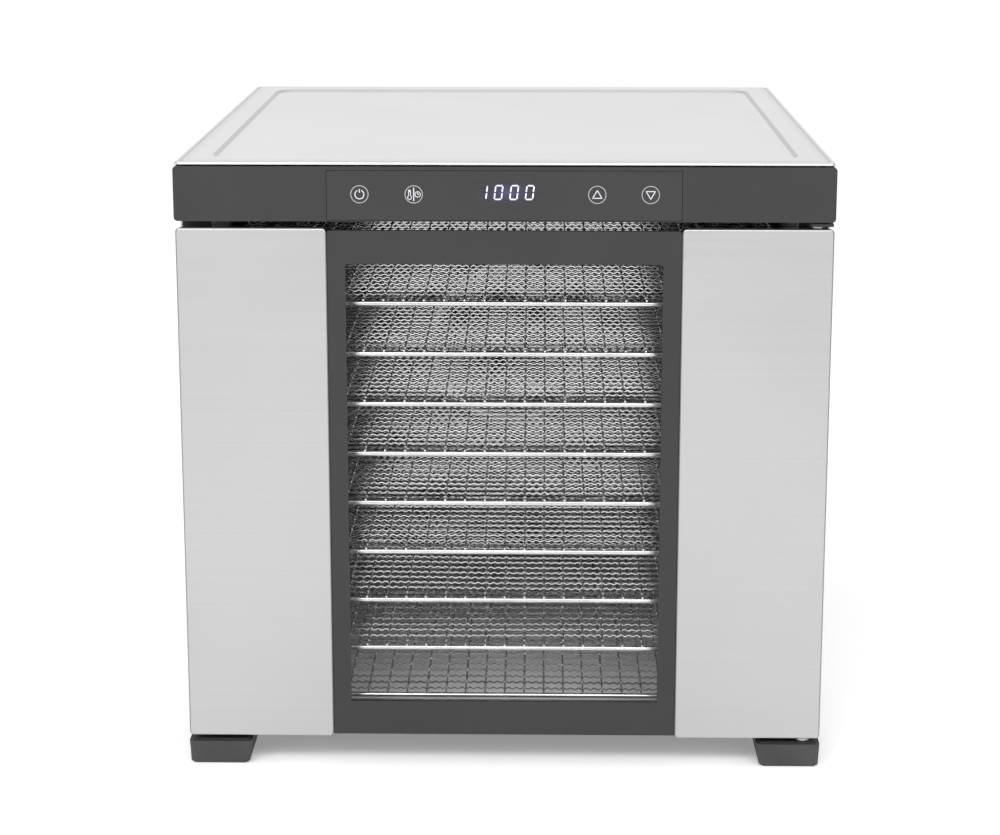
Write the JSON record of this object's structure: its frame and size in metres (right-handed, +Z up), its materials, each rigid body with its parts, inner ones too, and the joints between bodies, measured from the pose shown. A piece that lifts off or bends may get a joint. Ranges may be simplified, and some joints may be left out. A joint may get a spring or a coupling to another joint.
{
  "type": "food dehydrator",
  "caption": "Cabinet food dehydrator: brushed steel case with dark touch control band, glazed side-hinged door, stacked sliding wire trays, rear fan and ring heater",
  "frame": {"origin": "centre of the footprint, on the surface the feet stand on", "axes": "+X right towards the door hinge, -Y out through the door, +Z up"},
  "size_m": [0.43, 0.45, 0.415],
  "materials": {
    "top_steel": "fine brushed, pale",
    "case_steel": "brushed",
    "door_steel": "finely brushed",
    "dark_steel": "satin",
    "liner_steel": "satin",
    "wire_steel": "bright drawn wire",
    "heater_tube": "oxidised tube",
    "zinc_steel": "zinc plated",
    "motor_iron": "laminated",
    "black_plastic": "matte",
    "white_plastic": "matte",
    "board_green": "solder mask",
    "band_paint": "satin dark grey",
    "touch_gloss": "satin dark grey",
    "centre_plastic": "satin dark grey",
    "foot_rubber": "matte",
    "seal_rubber": "matte",
    "retainer_alloy": "satin",
    "fan_alloy": "satin",
    "window_glass": "clear, lightly tinted"
  },
  "bodies": {
    "cabinet": {"top_cover": "top_steel", "left_side_panel": "case_steel", "right_side_panel": "case_steel", "base_pan": "dark_steel", "rear_panel": "case_steel", "front_frame": "liner_steel", "liner_left": "liner_steel", "liner_right": "liner_steel", "liner_floor": "liner_steel", "liner_ceiling": "liner_steel", "rear_baffle": "liner_steel", "tray_rails_left": "wire_steel", "tray_rails_right": "wire_steel", "fan_guard": "wire_steel", "fan_shroud": "liner_steel", "heating_element": "heater_tube", "heater_clips": "zinc_steel", "motor_bracket": "zinc_steel", "fan_motor": "motor_iron", "thermal_cutout": "black_plastic", "temperature_sensor": "wire_steel", "control_fascia": "band_paint", "touch_panel": "touch_gloss", "display_module": "black_plastic", "control_board": "board_green", "power_board": "board_green", "board_standoffs": "white_plastic", "hinge_bracket_top": "zinc_steel", "hinge_pins": "zinc_steel", "catch_plates": "zinc_steel", "foot_plates": "dark_steel", "feet": "foot_rubber", "foot_screws": "zinc_steel", "side_screws": "zinc_steel", "rear_screws": "zinc_steel", "cord_gland": "black_plastic"},
    "door": {"door_frame": "centre_plastic", "door_plate_left": "door_steel", "door_plate_right": "door_steel", "door_glass": "window_glass", "window_seal": "seal_rubber", "glass_retainer": "retainer_alloy", "door_inner_panel": "liner_steel", "door_seal": "seal_rubber", "door_magnets": "black_plastic", "hinge_bushes": "zinc_steel"},
    "fan_rotor": {"fan_blade": "fan_alloy", "motor_shaft": "zinc_steel"},
    "tray_01": {"tray_01": "wire_steel"},
    "tray_02": {"tray_02": "wire_steel"},
    "tray_03": {"tray_03": "wire_steel"},
    "tray_04": {"tray_04": "wire_steel"},
    "tray_05": {"tray_05": "wire_steel"},
    "tray_06": {"tray_06": "wire_steel"},
    "tray_07": {"tray_07": "wire_steel"},
    "tray_08": {"tray_08": "wire_steel"},
    "tray_09": {"tray_09": "wire_steel"},
    "tray_10": {"tray_10": "wire_steel"}
  },
  "joints": [
    {"name": "door_swing", "type": "hinge", "parent": "cabinet", "child": "door", "pos_m": [0.2035, -0.217, 0.2], "axis": [0, 0, 1], "range_deg": [0, 110]},
    {"name": "fan_spin", "type": "hinge", "parent": "cabinet", "child": "fan_rotor", "pos_m": [0, 0.18, 0.21], "axis": [0, 1, 0], "continuous": true},
    {"name": "tray_01_slide", "type": "slide", "parent": "cabinet", "child": "tray_01", "axis": [0, -1, 0], "range_m": [0, 0.01]},
    {"name": "tray_02_slide", "type": "slide", "parent": "cabinet", "child": "tray_02", "axis": [0, -1, 0], "range_m": [0, 0.01]},
    {"name": "tray_03_slide", "type": "slide", "parent": "cabinet", "child": "tray_03", "axis": [0, -1, 0], "range_m": [0, 0.01]},
    {"name": "tray_04_slide", "type": "slide", "parent": "cabinet", "child": "tray_04", "axis": [0, -1, 0], "range_m": [0, 0.01]},
    {"name": "tray_05_slide", "type": "slide", "parent": "cabinet", "child": "tray_05", "axis": [0, -1, 0], "range_m": [0, 0.01]},
    {"name": "tray_06_slide", "type": "slide", "parent": "cabinet", "child": "tray_06", "axis": [0, -1, 0], "range_m": [0, 0.01]},
    {"name": "tray_07_slide", "type": "slide", "parent": "cabinet", "child": "tray_07", "axis": [0, -1, 0], "range_m": [0, 0.01]},
    {"name": "tray_08_slide", "type": "slide", "parent": "cabinet", "child": "tray_08", "axis": [0, -1, 0], "range_m": [0, 0.01]},
    {"name": "tray_09_slide", "type": "slide", "parent": "cabinet", "child": "tray_09", "axis": [0, -1, 0], "range_m": [0, 0.01]},
    {"name": "tray_10_slide", "type": "slide", "parent": "cabinet", "child": "tray_10", "axis": [0, -1, 0], "range_m": [0, 0.01]}
  ]
}
